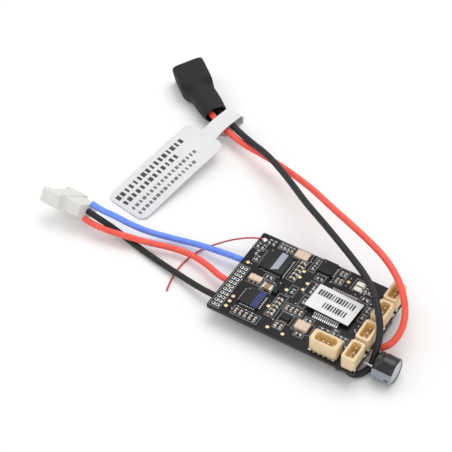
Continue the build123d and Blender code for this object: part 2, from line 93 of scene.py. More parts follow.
def layStage():
    azimuth = math.radians(view["azimuth"])
    elevation = math.radians(view["elevation"])
    back = Vector((
        math.sin(azimuth) * math.cos(elevation),
        -math.cos(azimuth) * math.cos(elevation),
        math.sin(elevation),
    ))
    camera = inScene("camera", bpy.data.cameras.new("camera"))
    camera.data.lens = view["lens"]
    camera.data.sensor_width = 36
    camera.data.clip_start = 0.01
    camera.location = (Vector(view["target"]) + back * view["distance"]) * mm
    camera.rotation_euler = Euler((math.pi / 2 - elevation, 0, azimuth))
    bpy.context.scene.camera = camera

    for name, lamp in lamps.items():
        light = bpy.data.lights.new(name, "AREA")
        light.shape = "DISK"
        light.size = lamp["size"] * mm
        light.energy = lamp["power"]
        lampObject = inScene(name, light)
        lampObject.location = Vector(lamp["place"]) * mm
        aim = Vector(view["target"]) * mm - lampObject.location
        lampObject.rotation_euler = aim.to_track_quat("-Z", "Y").to_euler()

    world = bpy.data.worlds.new("studio")
    world.use_nodes = True
    world.node_tree.nodes["Background"].inputs["Color"].default_value = (1, 1, 1, 1)
    world.node_tree.nodes["Background"].inputs["Strength"].default_value = room["glow"]
    bpy.context.scene.world = world
    bpy.context.scene.view_settings.view_transform = "Standard"

    bpy.ops.mesh.primitive_plane_add(size=room["floorSize"])
    floor = bpy.context.object
    floor.name = "floor"
    paper = bpy.data.materials.new("paleTable")
    paper.use_nodes = True
    shader = paper.node_tree.nodes["Principled BSDF"]
    shader.inputs["Base Color"].default_value = (*[room["floorShade"]] * 3, 1)
    shader.inputs["Roughness"].default_value = room["floorRoughness"]
    floor.data.materials.append(paper)


layStage()
print("stage laid")


# Finishes

def mottled(name, light, dark, grain, rough, bump=0.1, bumpDepth=0.02, metal=0.0, coat=0.0, shine=0.5):
    # uneven colour at the given grain, roughness and relief at a quarter of it, all in millimetres
    finish = bpy.data.materials.new(name)
    finish.use_nodes = True
    tree = finish.node_tree
    shader = tree.nodes["Principled BSDF"]
    place = addNode(tree, "ShaderNodeTexCoord").outputs["Object"]
    patches = addNode(tree, "ShaderNodeTexNoise", {
        "Vector": place, "Scale": 1 / (grain * mm), "Detail": 4.0, "Roughness": 0.6})
    fine = addNode(tree, "ShaderNodeTexNoise", {
        "Vector": place, "Scale": 4 / (grain * mm), "Detail": 3.0, "Roughness": 0.55})
    spread = addNode(tree, "ShaderNodeMapRange", {
        "Value": patches.outputs[0], "From Min": 0.3, "From Max": 0.7})
    colour = addNode(tree, "ShaderNodeMix", {
        0: spread.outputs[0], 6: shade(*dark), 7: shade(*light)}, data_type="RGBA")
    gloss = addNode(tree, "ShaderNodeMapRange", {
        "Value": fine.outputs[0], "To Min": rough[0], "To Max": rough[1]})
    relief = addNode(tree, "ShaderNodeBump", {
        "Height": fine.outputs[0], "Strength": bump, "Distance": bumpDepth * mm})
    tree.links.new(colour.outputs[2], shader.inputs["Base Color"])
    tree.links.new(gloss.outputs[0], shader.inputs["Roughness"])
    tree.links.new(relief.outputs[0], shader.inputs["Normal"])
    shader.inputs["Metallic"].default_value = metal
    shader.inputs["Specular IOR Level"].default_value = shine
    shader.inputs["Coat Weight"].default_value = coat
    shader.inputs["Coat Roughness"].default_value = 0.15
    return finish


def maths(tree, operation, first, second=0.0):
    return addNode(tree, "ShaderNodeMath", {0: first, 1: second}, operation=operation).outputs[0]


def between(tree, value, low, high):
    above = maths(tree, "GREATER_THAN", value, low)
    below = maths(tree, "LESS_THAN", value, high)
    return maths(tree, "MULTIPLY", above, below)


def placeAxes(tree):
    place = addNode(tree, "ShaderNodeTexCoord").outputs["Object"]
    return addNode(tree, "ShaderNodeSeparateXYZ", {0: place}).outputs


def paintOver(finish, mask, colour):
    # a second colour over the first, wherever the mask is one
    tree = finish.node_tree
    target = tree.nodes["Principled BSDF"].inputs["Base Color"]
    below = target.links[0].from_socket
    mixed = addNode(tree, "ShaderNodeMix", {0: mask, 6: below, 7: shade(*colour)}, data_type="RGBA")
    tree.links.new(mixed.outputs[2], target)


def upwardness(tree):
    normal = addNode(tree, "ShaderNodeNewGeometry").outputs["Normal"]
    return addNode(tree, "ShaderNodeSeparateXYZ", {0: normal}).outputs[2]


def blackMask():
    # satin solder mask over the copper, with the glass laminate bare on the cut edges
    finish = mottled("blackMask", (24, 20, 25), (17, 14, 18), 1.4, (0.34, 0.5), 0.12, 0.03, shine=0.26)
    tree = finish.node_tree
    edge = maths(tree, "LESS_THAN", maths(tree, "ABSOLUTE", upwardness(tree)), 0.4)
    paintOver(finish, edge, (50, 44, 36))
    return finish


def capacitorFilm():
    # glossy black film with the grey polarity stripe and its dark dash
    finish = mottled("capacitorFilm", (34, 33, 38), (25, 24, 28), 2.0, (0.16, 0.26), 0.05, 0.02)
    tree = finish.node_tree
    x, y, z = placeAxes(tree)
    across = maths(tree, "SUBTRACT", y, canPlace["y"] * mm)
    above = maths(tree, "SUBTRACT", z, canPlace["z"] * mm)
    turn = maths(tree, "ARCTAN2", across, above)
    stripe = between(tree, turn, *[math.radians(angle) for angle in canPlace["stripe"]])
    dash = between(tree, turn, *[math.radians(angle) for angle in canPlace["dash"]])
    dashLength = between(tree, x, canPlace["dashX"][0] * mm, canPlace["dashX"][1] * mm)
    paintOver(finish, stripe, (142, 147, 160))
    paintOver(finish, maths(tree, "MULTIPLY", dash, dashLength), (36, 34, 40))
    return finish


def chipBlack(name, stripe=None, colour=None):
    # moulded epoxy, with a flat stripe of another colour on the top face of some chips
    finish = mottled(name, (30, 29, 31), (22, 21, 23), 0.5, (0.38, 0.55), 0.25, 0.01, shine=0.28)
    if stripe:
        tree = finish.node_tree
        x, y = placeAxes(tree)[:2]
        low, high, bottom, slant = stripe  # from x, to x, lowest y at the left, rise of the cut end
        limit = maths(tree, "ADD", maths(tree, "MULTIPLY", x, slant), (bottom - low * slant) * mm)
        mask = maths(tree, "MULTIPLY", between(tree, x, low * mm, high * mm),
                     maths(tree, "GREATER_THAN", y, limit))
        mask = maths(tree, "MULTIPLY", mask, maths(tree, "GREATER_THAN", upwardness(tree), 0.7))
        paintOver(finish, mask, colour)
    return finish


canPlace = {
    "y": -6.7, "z": 3.15, "stripe": (-118, -62), "dash": (-104, -92), "dashX": (21.2, 22.2),
}

finishes = {
    "mask": blackMask(),
    "silk": mottled("silkInk", (172, 170, 170), (138, 136, 138), 0.5, (0.6, 0.75)),
    "padTin": mottled("dullPads", (176, 172, 166), (132, 128, 124), 0.35, (0.4, 0.6), 0.3, 0.02, metal=0.5),
    "gold": mottled("goldPlate", (232, 214, 172), (212, 188, 140), 0.5, (0.25, 0.4), metal=0.6),
    "tin": mottled("tinPlate", (214, 214, 212), (176, 176, 176), 0.4, (0.25, 0.42), metal=0.85),
    "solder": mottled("brightSolder", (222, 222, 220), (170, 170, 172), 0.6, (0.16, 0.3),
                      0.2, 0.03, metal=0.9),
    "cream": mottled("creamNylon", (232, 209, 170), (222, 197, 155), 1.6, (0.42, 0.55), 0.1, 0.02),
    # the same nylon in a deeper golden for the sockets' inner faces: painted glow of light shining through
    # the translucent walls
    "creamPaintedGlow": mottled("creamNylonPaintedGlow", (238, 205, 146), (226, 188, 124), 1.2, (0.45, 0.6)),
    "epoxy": chipBlack("chipEpoxy"),
    "radio": chipBlack("radioEpoxy", (-15.35, -13.75, 3.15, 0.6), (160, 165, 176)),
    "processor": chipBlack("processorEpoxy", (-13.92, -12.3, -8.5, 0), (48, 58, 112)),
    "tan": mottled("tanCeramic", (226, 202, 182), (212, 184, 160), 0.6, (0.5, 0.65)),
    "dielectric": mottled("brownDielectric", (172, 140, 108), (140, 108, 80), 0.4, (0.45, 0.6)),
    "glaze": mottled("blackGlaze", (46, 44, 46), (32, 30, 33), 0.4, (0.2, 0.32)),
    "resin": mottled("paleResin", (232, 236, 218), (214, 222, 202), 0.5, (0.15, 0.25), coat=0.4),
    "label": mottled("labelFilm", (232, 232, 233), (224, 224, 226), 3.0, (0.45, 0.55), 0.05, 0.02),
    "ink": mottled("greyInk", (66, 64, 66), (52, 50, 52), 0.5, (0.5, 0.6)),
    "inkSoft": mottled("paleInk", (120, 118, 120), (104, 102, 104), 0.5, (0.5, 0.6)),
    "canFilm": capacitorFilm(),
    "canMetal": mottled("drawnAluminium", (205, 205, 206), (186, 186, 188), 1.5, (0.3, 0.42), metal=0.9),
    "bung": mottled("bungRubber", (40, 38, 40), (30, 29, 31), 0.8, (0.7, 0.85)),
    "blue": mottled("blueSilicone", (112, 152, 248), (96, 136, 238), 2.2, (0.4, 0.55), 0.12, 0.02),
    "red": mottled("redSilicone", (248, 96, 80), (238, 82, 68), 2.2, (0.4, 0.55), 0.12, 0.02),
    "black": mottled("blackSilicone", (36, 37, 39), (28, 29, 31), 2.2, (0.42, 0.58), 0.15, 0.02, shine=0.35),
    "maroon": mottled("maroonEnamel", (196, 70, 78), (172, 54, 64), 1.0, (0.35, 0.5)),
    "nylon": mottled("plugNylon", (225, 224, 220), (216, 215, 210), 2.4, (0.45, 0.6), 0.12, 0.03),
    "shrink": mottled("shrinkTube", (31, 31, 34), (25, 25, 27), 1.2, (0.5, 0.68), 0.35, 0.05, shine=0.3),
    "tag": mottled("tagFilm", (222, 222, 223), (215, 215, 217), 5.0, (0.4, 0.52), 0.06, 0.03),
}
print("finishes mixed:", len(finishes))


# Free leads

leads = {
    "motor_lead_blue": {
        "finish": "blue", "slot": "blue_silicone", "diameter": 1.5, "length": 41.0, "end": "plug",
        "route": (
            (-22.0, 4.1, 2.85), (-24.5, 4.1, 2.85), (-29.0, 3.8, 2.55), (-34.9, 3.5, 2.0),
            (-41.5, 2.4, 1.4), (-47.24, 0.31, 2.5), (-51.2, -0.84, 3.8), (-54.3, -1.5, 5.0),
            (-56.4, -1.9, 5.7), (-58.49, -2.18, 5.87), (-61.64, -1.61, 5.87),
        ),
    },
    "motor_lead_red": {
        "finish": "red", "slot": "red_silicone", "diameter": 1.5, "length": 41.3, "end": "plug",
        "route": (
            (-22.0, -3.1, 2.85), (-24.7, -3.1, 2.85), (-29.4, -1.2, 2.4), (-34.4, -0.1, 2.0),
            (-39.6, -0.5, 1.9), (-45.8, -2.6, 2.4), (-50.7, -3.8, 2.8), (-54.9, -4.75, 3.1),
            (-59.05, -5.26, 3.38), (-62.2, -4.69, 3.38),
        ),
    },
    "motor_lead_black": {
        "finish": "black", "slot": "black_silicone", "diameter": 1.5, "length": 41.5, "end": "plug",
        "route": (
            (-22.0, -8.5, 2.85), (-24.2, -8.5, 2.85), (-28.2, -7.8, 2.2), (-33.6, -6.6, 1.5),
            (-39.3, -5.4, 1.0), (-45.8, -4.1, 0.8), (-51.9, -2.75, 0.95), (-55.3, -3.05, 2.8),
            (-58.77, -3.72, 4.63), (-61.92, -3.15, 4.63),
        ),
    },
    "battery_lead_black": {
        "finish": "black", "slot": "black_silicone", "diameter": 1.6, "length": 115.4, "end": "plug",
        "route": (
            (8.4, -8.6, 2.8), (10.22, -9.65, 2.8), (12.2, -10.9, 2.0), (14.5, -10.8, 1.0),
            (16.1, -8.8, 0.95), (16.75, -7.0, 1.9), (16.95, -6.6, 3.9), (16.85, -5.0, 6.2),
            (16.1, -2.4, 8.4), (14.0, 0.6, 10.2), (11.0, 4.3, 11.2), (7.0, 7.5, 11.8), (2.3, 10.3, 12.0),
            (-3.8, 14.0, 11.6), (-10.4, 18.2, 10.6), (-16.8, 22.3, 9.3), (-23.2, 26.9, 8.2),
            (-29.2, 31.0, 7.1), (-35.0, 34.6, 5.8), (-40.3, 36.9, 4.7), (-45.9, 39.5, 3.8),
            (-51.0, 42.1, 3.3), (-54.6, 44.1, 3.0), (-60.26, 46.84, 3.75), (-62.569, 48.77, 3.751),
        ),
    },
    "battery_lead_red": {
        "finish": "red", "slot": "red_silicone", "diameter": 1.6, "length": 109.9, "end": "plug",
        "route": (
            (11.4, -2.7, 2.75), (13.6, -2.7, 2.75), (16.2, -2.5, 2.7), (18.2, -0.9, 3.6),
            (19.0, 2.0, 5.0), (18.5, 5.3, 7.2), (16.2, 8.5, 9.6), (12.8, 11.6, 11.2),
            (8.0, 14.7, 11.9), (2.4, 17.5, 11.6), (-4.0, 20.8, 10.5), (-11.1, 24.6, 8.8),
            (-17.5, 28.5, 7.0), (-23.9, 31.6, 5.5), (-30.6, 34.1, 4.3), (-36.7, 35.8, 3.5),
            (-41.8, 36.6, 3.1), (-47.0, 38.1, 3.0), (-52.2, 40.3, 3.1), (-55.9, 42.35, 3.0),
            (-61.52, 45.33, 3.37), (-63.829, 47.264, 3.369),
        ),
    },
    "antenna_wire": {
        "finish": "maroon", "slot": "antenna_enamel", "diameter": 0.4, "length": 31.0, "end": "bare",
        "route": (
            (-21.6, 10.9, 4.68), (-23.3, 10.3, 4.72), (-25.7, 9.4, 4.1), (-28.7, 8.3, 2.8),
            (-31.4, 6.9, 1.3), (-33.6, 4.9, 0.5), (-35.0, 2.3, 0.25), (-35.7, -0.6, 0.22),
            (-36.0, -3.6, 0.25), (-35.7, -6.7, 0.22), (-35.2, -9.2, 0.25), (-34.6, -11.2, 0.22),
        ),
    },
}


def settle(piece, finish, replaced=(), body=mainBody):
    # material, body and hiding of the replaced CAD parts that every finished piece gets
    if finish:
        piece.data.materials.clear()
        piece.data.materials.append(finishes[finish])
    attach(piece, body)
    if replaced:
        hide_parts(*replaced)
    return piece


def runLead(node, plan):
    curve = bpy.data.curves.new(f"{node}_line", "CURVE")
    curve.dimensions = "3D"
    spline = curve.splines.new("NURBS")
    spline.points.add(len(plan["route"]) - 1)
    for point, place in zip(spline.points, plan["route"]):
        point.co = (*(Vector(place) * mm), 1)
    spline.order_u = 3
    spline.use_endpoint_u = True
    spline.resolution_u = 10
    curve.bevel_depth = plan["diameter"] / 2 * mm
    curve.bevel_resolution = 6
    curve.use_fill_caps = True
    lead = inScene(f"{node}_insulation", curve)
    return settle(lead, plan["finish"], [node])


leadPieces = {node: runLead(node, plan) for node, plan in leads.items()}
print("leads run:", len(leadPieces))


# Shared ways of making pieces

def pieceFrom(shape, name, finish=None, sharpAngle=40):
    # smooth faces, with a hard edge wherever two meet more steeply than the angle
    for face in shape.faces:
        face.smooth = True
    for edge in shape.edges:
        edge.smooth = len(edge.link_faces) == 2 and edge.calc_face_angle(0) < math.radians(sharpAngle)
    mesh = bpy.data.meshes.new(name)
    shape.to_mesh(mesh)
    shape.free()
    piece = inScene(name, mesh)
    if finish:
        mesh.materials.append(finishes[finish])
    return piece


def cadCopy(node):
    shape = bmesh.new()
    shape.from_mesh(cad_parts[node].data)
    bmesh.ops.remove_doubles(shape, verts=shape.verts[:], dist=0.0001 * mm)
    return shape


def roundEdges(shape, width, segments=2, steeper=30):
    bmesh.ops.dissolve_limit(
        shape, angle_limit=math.radians(1), verts=shape.verts[:], edges=shape.edges[:])
    edges = [
        edge for edge in shape.edges
        if len(edge.link_faces) == 2 and edge.calc_face_angle(0) > math.radians(steeper)
    ]
    bmesh.ops.bevel(shape, geom=edges, offset=width * mm, segments=segments, profile=0.6,
                    affect="EDGES", clamp_overlap=True)


def softened(node, finish, width, body=mainBody, segments=2):
    # the CAD shape again with its edges rounded
    shape = cadCopy(node)
    roundEdges(shape, width, segments)
    piece = pieceFrom(shape, f"{node}_moulding")
    return settle(piece, finish, [node], body)


def solidBoxes(node):
    # lowest and highest corner of each separate solid in a CAD node, in a fixed order
    shape = cadCopy(node)
    left = set(shape.verts)
    boxes = []
    while left:
        stack = [left.pop()]
        corners = []
        while stack:
            vert = stack.pop()
            corners.append(tuple(vert.co))
            near = {edge.other_vert(vert) for edge in vert.link_edges} & left
            left -= near
            stack += near
        boxes.append((Vector(map(min, zip(*corners))), Vector(map(max, zip(*corners)))))
    shape.free()
    return sorted(boxes, key=lambda box: (round(box[0].x, 6), round(box[0].y, 6), round(box[0].z, 6)))


def block(name, low, high, width, segments=2, taper=1.0):
    # a box between two corners in millimetres, drawn in towards its top by the taper
    shape = bmesh.new()
    bmesh.ops.create_cube(shape, size=1)
    low, high = Vector(low) * mm, Vector(high) * mm
    middle, size = (low + high) / 2, high - low
    for vert in shape.verts:
        inward = taper if vert.co.z > 0 else 1
        vert.co = Vector((
            middle.x + vert.co.x * size.x * inward,
            middle.y + vert.co.y * size.y * inward,
            middle.z + vert.co.z * size.z,
        ))
    bmesh.ops.bevel(shape, geom=shape.edges[:], offset=width * mm, segments=segments, profile=0.6,
                    affect="EDGES", clamp_overlap=True)
    return pieceFrom(shape, name)


def joined(name, parts):
    # one helper from several, each removed once it has been copied in
    shape = bmesh.new()
    for part in parts:
        shape.from_mesh(part.data)
        bpy.data.objects.remove(part)
    return pieceFrom(shape, name)


def skin(shape, rings):
    # four-sided faces from each ring of points to the next
    for first, second in zip(rings, rings[1:]):
        for i in range(len(first)):
            after = (i + 1) % len(first)
            shape.faces.new((first[i], first[after], second[after], second[i]))


def stripFrom(shape, sections, name):
    # a solid strip through the sections, closed at both ends
    skin(shape, sections)
    shape.faces.new(sections[0])
    shape.faces.new(sections[-1])
    bmesh.ops.recalc_face_normals(shape, faces=shape.faces[:])
    return pieceFrom(shape, name)


def lathe(name, profile, middle, steps=72, closed=False):
    # turns (x, radius) points about a line along X through the middle (y, z)
    shape = bmesh.new()
    rings = []
    for x, radius in profile:
        if radius == 0:
            rings.append([shape.verts.new((x * mm, middle[0] * mm, middle[1] * mm))])
            continue
        rings.append([
            shape.verts.new((
                x * mm,
                (middle[0] + radius * math.cos(2 * math.pi * step / steps)) * mm,
                (middle[1] + radius * math.sin(2 * math.pi * step / steps)) * mm,
            ))
            for step in range(steps)
        ])
    pairs = list(zip(rings, rings[1:]))
    if closed:
        pairs.append((rings[-1], rings[0]))
    for first, second in pairs:
        for step in range(steps):
            after = (step + 1) % steps
            corners = [
                first[step % len(first)], first[after % len(first)],
                second[after % len(second)], second[step % len(second)],
            ]
            shape.faces.new(dict.fromkeys(corners))
    bmesh.ops.recalc_face_normals(shape, faces=shape.faces[:])
    return pieceFrom(shape, name)


def disc(name, profile, steps):
    # (height, radius) points turned about an upright line
    turned = lathe(name, profile, (0, 0), steps)
    turned.data.transform(Matrix.Rotation(math.radians(-90), 4, "Y"))
    return turned


# Geometry trees for what repeats or follows a line

def newTree(name, inputs):
    tree = bpy.data.node_groups.new(name, "GeometryNodeTree")
    tree.interface.new_socket("Geometry", in_out="INPUT", socket_type="NodeSocketGeometry")
    for label, kind in inputs.items():
        tree.interface.new_socket(label, in_out="INPUT", socket_type=f"NodeSocket{kind}")
    tree.interface.new_socket("Geometry", in_out="OUTPUT", socket_type="NodeSocketGeometry")
    return tree, tree.nodes.new("NodeGroupInput").outputs


def endTree(tree, geometry, finish):
    real = addNode(tree, "GeometryNodeRealizeInstances", {0: geometry}).outputs[0]
    coated = addNode(tree, "GeometryNodeSetMaterial", {"Geometry": real, "Material": finish}).outputs[0]
    tree.links.new(coated, tree.nodes.new("NodeGroupOutput").inputs[0])
    return tree


def turnOf(tree):
    turn = addNode(tree, "GeometryNodeInputNamedAttribute", {"Name": "turn"}, data_type="FLOAT")
    return addNode(tree, "ShaderNodeCombineXYZ", {2: turn.outputs[0]}).outputs[0]


def partsTree():
    # one part at each point, turned by the point's own angle
    tree, given = newTree("partsOnPoints", {"Part": "Object", "Finish": "Material"})
    part = addNode(tree, "GeometryNodeObjectInfo", {"Object": given["Part"]}).outputs["Geometry"]
    placed = addNode(tree, "GeometryNodeInstanceOnPoints", {
        "Points": given["Geometry"], "Instance": part, "Rotation": turnOf(tree)}).outputs[0]
    return endTree(tree, placed, given["Finish"])


def padRingTree():
    # equal rows of a part round each point, one row to a side
    tree, given = newTree("padRing", {
        "Part": "Object", "Finish": "Material", "Count": "Int", "Pitch": "Float",
        "Reach": "Float", "Sides": "Int"})
    part = addNode(tree, "GeometryNodeObjectInfo", {"Object": given["Part"]}).outputs["Geometry"]
    gaps = maths(tree, "SUBTRACT", given["Count"], 1.0)
    half = maths(tree, "MULTIPLY", maths(tree, "MULTIPLY", gaps, given["Pitch"]), -0.5)
    first = addNode(tree, "ShaderNodeCombineXYZ", {0: half, 1: given["Reach"]}).outputs[0]
    step = addNode(tree, "ShaderNodeCombineXYZ", {0: given["Pitch"]}).outputs[0]
    line = addNode(tree, "GeometryNodeMeshLine", {
        "Count": given["Count"], "Start Location": first, "Offset": step}).outputs[0]
    row = addNode(tree, "GeometryNodeInstanceOnPoints", {"Points": line, "Instance": part}).outputs[0]
    spots = addNode(tree, "GeometryNodeMeshLine", {"Count": given["Sides"], "Offset": (0, 0, 0)}).outputs[0]
    share = maths(tree, "DIVIDE", 2 * math.pi, given["Sides"])
    index = addNode(tree, "GeometryNodeInputIndex").outputs[0]
    spin = addNode(tree, "ShaderNodeCombineXYZ", {2: maths(tree, "MULTIPLY", index, share)}).outputs[0]
    ring = addNode(tree, "GeometryNodeInstanceOnPoints", {
        "Points": spots, "Instance": row, "Rotation": spin}).outputs[0]
    placed = addNode(tree, "GeometryNodeInstanceOnPoints", {
        "Points": given["Geometry"], "Instance": ring, "Rotation": turnOf(tree)}).outputs[0]
    return endTree(tree, placed, given["Finish"])


def ribbonTree():
    # a flat strip along every edge line
    tree, given = newTree("ribbons", {"Finish": "Material", "Width": "Float", "Thickness": "Float"})
    curve = addNode(tree, "GeometryNodeMeshToCurve", {0: given["Geometry"]}).outputs[0]
    upright = addNode(tree, "GeometryNodeSetCurveNormal", {"Curve": curve}, mode="Z_UP").outputs[0]
    section = addNode(tree, "GeometryNodeCurvePrimitiveQuadrilateral", {
        "Width": given["Width"], "Height": given["Thickness"]}).outputs[0]
    strip = addNode(tree, "GeometryNodeCurveToMesh", {
        "Curve": upright, "Profile Curve": section, "Fill Caps": True}).outputs[0]
    return endTree(tree, strip, given["Finish"])


def printTree():
    # rows of plain dashes of uneven length, one row from each point
    tree, given = newTree("printedRows", {
        "Finish": "Material", "Count": "Int", "Pitch": "Float", "Height": "Float",
        "Thickness": "Float", "Seed": "Int"})
    step = addNode(tree, "ShaderNodeCombineXYZ", {0: given["Pitch"]}).outputs[0]
    line = addNode(tree, "GeometryNodeMeshLine", {"Count": given["Count"], "Offset": step}).outputs[0]
    rows = addNode(tree, "GeometryNodeInstanceOnPoints", {
        "Points": given["Geometry"], "Instance": line, "Rotation": turnOf(tree)}).outputs[0]
    spots = addNode(tree, "GeometryNodeRealizeInstances", {0: rows}).outputs[0]
    share = addNode(tree, "FunctionNodeRandomValue", {
        2: 0.35, 3: 0.82, "Seed": given["Seed"]}, data_type="FLOAT").outputs[1]
    length = maths(tree, "MULTIPLY", share, given["Pitch"])
    size = addNode(tree, "ShaderNodeCombineXYZ", {
        0: length, 1: given["Height"], 2: given["Thickness"]}).outputs[0]
    dash = addNode(tree, "GeometryNodeMeshCube", {"Size": (1, 1, 1)}).outputs[0]
    placed = addNode(tree, "GeometryNodeInstanceOnPoints", {
        "Points": spots, "Instance": dash, "Rotation": turnOf(tree), "Scale": size}).outputs[0]
    return endTree(tree, placed, given["Finish"])


trees = {"parts": partsTree(), "ring": padRingTree(), "ribbons": ribbonTree(), "print": printTree()}


def pointCloud(name, places):
    # places are (x, y, z, turn in degrees), in millimetres
    mesh = bpy.data.meshes.new(name)
    mesh.from_pydata([Vector(place[:3]) * mm for place in places], [], [])
    turns = mesh.attributes.new("turn", "FLOAT", "POINT")
    for entry, place in zip(turns.data, places):
        entry.value = math.radians(place[3])
    return inScene(name, mesh)


def lineWork(name, lines, closed):
    # lines are lists of (x, y, z) in millimetres
    mesh = bpy.data.meshes.new(name)
    verts = []
    edges = []
    for line in lines:
        start = len(verts)
        verts += [Vector(point) * mm for point in line]
        edges += [(start + i, start + i + 1) for i in range(len(line) - 1)]
        if closed:
            edges.append((len(verts) - 1, start))
    mesh.from_pydata(verts, edges, [])
    return inScene(name, mesh)


def grow(base, tree, finish, **inputs):
    # runs a tree on the base, keeps the result as a plain mesh and takes the modifier off
    modifier = base.modifiers.new("grow", "NODES")
    modifier.node_group = trees[tree]
    inputs["Finish"] = finishes[finish]
    for item in trees[tree].interface.items_tree:
        if item.in_out == "INPUT" and item.name in inputs:
            modifier[item.identifier] = inputs[item.name]
    bpy.context.view_layer.update()
    evaluated = base.evaluated_get(bpy.context.evaluated_depsgraph_get())
    mesh = bpy.data.meshes.new_from_object(evaluated)
    base.modifiers.remove(modifier)
    base.data = mesh
    for left in [name for name in ("turn",) if name in mesh.attributes]:
        mesh.attributes.remove(mesh.attributes[left])
    return base


def spread(name, part, places, finish, slot, replaced=()):
    piece = grow(pointCloud(name, places), "parts", finish, Part=part)
    bpy.data.objects.remove(part)
    return settle(piece, None, replaced)


def growRing(name, places, part, finish, slot, replaced=(), **inputs):
    # equal rows of feet round each place; the single foot is a helper and goes
    ring = grow(pointCloud(name, places), "ring", finish, Part=part, **inputs)
    bpy.data.objects.remove(part)
    return settle(ring, None, replaced)


# Board

boardPlan = {
    "middle": (-3.75, 0.0),
    "top": 4.4,
    "bottom": 3.6,
    "silkWidth": 0.17,
    "silkThickness": 0.02,
    "traceWidth": 0.2,
    "viaSize": 0.3,
    "viaCount": 70,
    "viaSeed": 4,
}

# low x, high x, low y, high y from the middle of the board
silkFrames = (
    (-13.75, -9.45, 10.4, 12.75), (-9.35, -5.2, 10.0, 12.75), (-7.5, -5.3, 3.2, 10.1),
    (-4.3, -2.8, 8.0, 12.6), (1.95, 4.45, 7.75, 12.75), (-1.8, 0.55, 6.5, 8.2),
    (-2.0, 0.25, 1.5, 5.7), (6.65, 9.45, 8.2, 11.8), (9.5, 11.4, 8.7, 11.5),
    (10.0, 12.35, 6.1, 7.6), (12.45, 13.9, 0.7, 5.7), (-12.1, -9.6, 0.8, 2.2),
    (-15.0, -11.4, -2.1, 0.7), (-11.1, -8.3, -2.7, 0.5), (-5.1, -3.35, -0.9, 2.35),
    (-6.4, -4.0, -8.5, -1.3), (-3.5, 1.35, -5.3, -2.75), (-3.05, 0.05, -8.4, -5.5),
    (-3.05, -0.75, -10.7, -8.5), (0.85, 5.3, -8.9, -5.6), (2.1, 4.45, -5.5, -4.1),
    (2.1, 4.45, -10.3, -9.0), (-13.2, -6.4, -12.1, -9.6), (6.1, 9.1, -6.8, -5.0),
    (9.25, 10.7, -5.7, -4.0), (10.9, 13.7, -6.9, -5.0), (-1.25, 0.5, -2.4, 1.2),
    (-18.6, -16.0, -12.45, 1.65), (-18.75, -16.1, 7.7, 10.1), (-16.9, -15.3, 4.1, 8.5),
)

# copper lines under the mask, from the middle of the board
copperLines = (
    ((-15.9, -4.0), (-14.9, -3.0), (-14.9, 2.2), (-13.6, 3.5)),
    ((-15.9, -5.2), (-14.5, -3.8), (-13.9, -3.8)),
    ((-7.9, -3.9), (-7.0, -3.0), (-7.0, 1.8), (-8.2, 3.0)),
    ((-7.9, -4.7), (-6.6, -3.4), (-6.6, 2.3), (-7.4, 3.1)),
    ((-3.2, 1.2), (-3.2, 6.4), (-2.3, 7.3)),
    ((1.0, -2.2), (1.0, -2.9), (1.9, -3.8), (5.5, -3.8)),
    ((1.3, 6.1), (1.3, 9.4), (1.7, 9.8)),
    ((4.9, 6.9), (6.2, 8.1), (9.2, 8.1)),
    ((12.1, -3.7), (13.6, -3.7), (13.6, -2.2), (14.9, -0.9)),
    ((12.5, 0.1), (13.3, -0.7), (15.0, -0.7)),
    ((5.7, -8.5), (6.6, -7.6), (14.2, -7.6), (15.3, -6.5)),
    ((-7.0, -12.4), (2.4, -12.4), (4.3, -10.5), (5.6, -10.5)),
    ((-14.2, -8.4), (-13.0, -9.2), (-6.2, -9.2)),
    ((0.3, 12.4), (1.5, 12.4), (1.5, 8.0), (3.0, 6.5)),
)


def onBoard(x, y, z):
    return (boardPlan["middle"][0] + x, boardPlan["middle"][1] + y, z)


def makeBoard():
    softened("circuit_board", "mask", 0.06)

    lift = boardPlan["top"] + boardPlan["silkThickness"] / 2
    outlines = [
        [onBoard(x, y, lift) for x, y in ((x1, y1), (x2, y1), (x2, y2), (x1, y2))]
        for x1, x2, y1, y2 in silkFrames
    ]
    silk = grow(lineWork("silkscreen_frames", outlines, True), "ribbons", "silk",
                Width=boardPlan["silkWidth"] * mm, Thickness=boardPlan["silkThickness"] * mm)
    settle(silk, None)

    lines = [[onBoard(x, y, boardPlan["top"] + 0.005) for x, y in line] for line in copperLines]
    copper = grow(lineWork("copper_lines", lines, False), "ribbons", "mask",
                  Width=boardPlan["traceWidth"] * mm, Thickness=0.03 * mm)
    settle(copper, None)

    low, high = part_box("circuit_board")
    draw = random.Random(boardPlan["viaSeed"])
    places = []
    for _ in range(boardPlan["viaCount"]):
        x = draw.uniform(low.x / mm + 1, high.x / mm - 5)
        y = draw.uniform(low.y / mm + 1.4, high.y / mm - 1.4)
        places.append((x, y, boardPlan["top"], 0))
        places.append((x, y, boardPlan["bottom"] - 0.015, 0))
    radius = boardPlan["viaSize"] / 2
    ring = tubeRing("viaRing", radius, radius * 0.45, 0.03)
    spread("via_rings", ring, places, "tin", "tinned_pad")


def tubeRing(name, outer, inner, height, steps=12):
    # a flat washer standing on z = 0
    shape = bmesh.new()
    loops = [
        [shape.verts.new((radius * mm * math.cos(2 * math.pi * i / steps),
                          radius * mm * math.sin(2 * math.pi * i / steps), z * mm))
         for i in range(steps)]
        for radius, z in ((outer, 0), (outer, height), (inner, height), (inner, 0))
    ]
    skin(shape, loops + loops[:1])
    bmesh.ops.recalc_face_normals(shape, faces=shape.faces[:])
    return pieceFrom(shape, name)


def boxPlaces(node, level=None):
    # middle and turn of every solid in a CAD node: long ones along Y are turned
    places = []
    for low, high in solidBoxes(node):
        size = high - low
        turn = 90 if size.y > size.x * 1.2 else 0
        z = low.z if level is None else level * mm
        places.append(((low.x + high.x) / 2 / mm, (low.y + high.y) / 2 / mm, z / mm, turn))
    return places


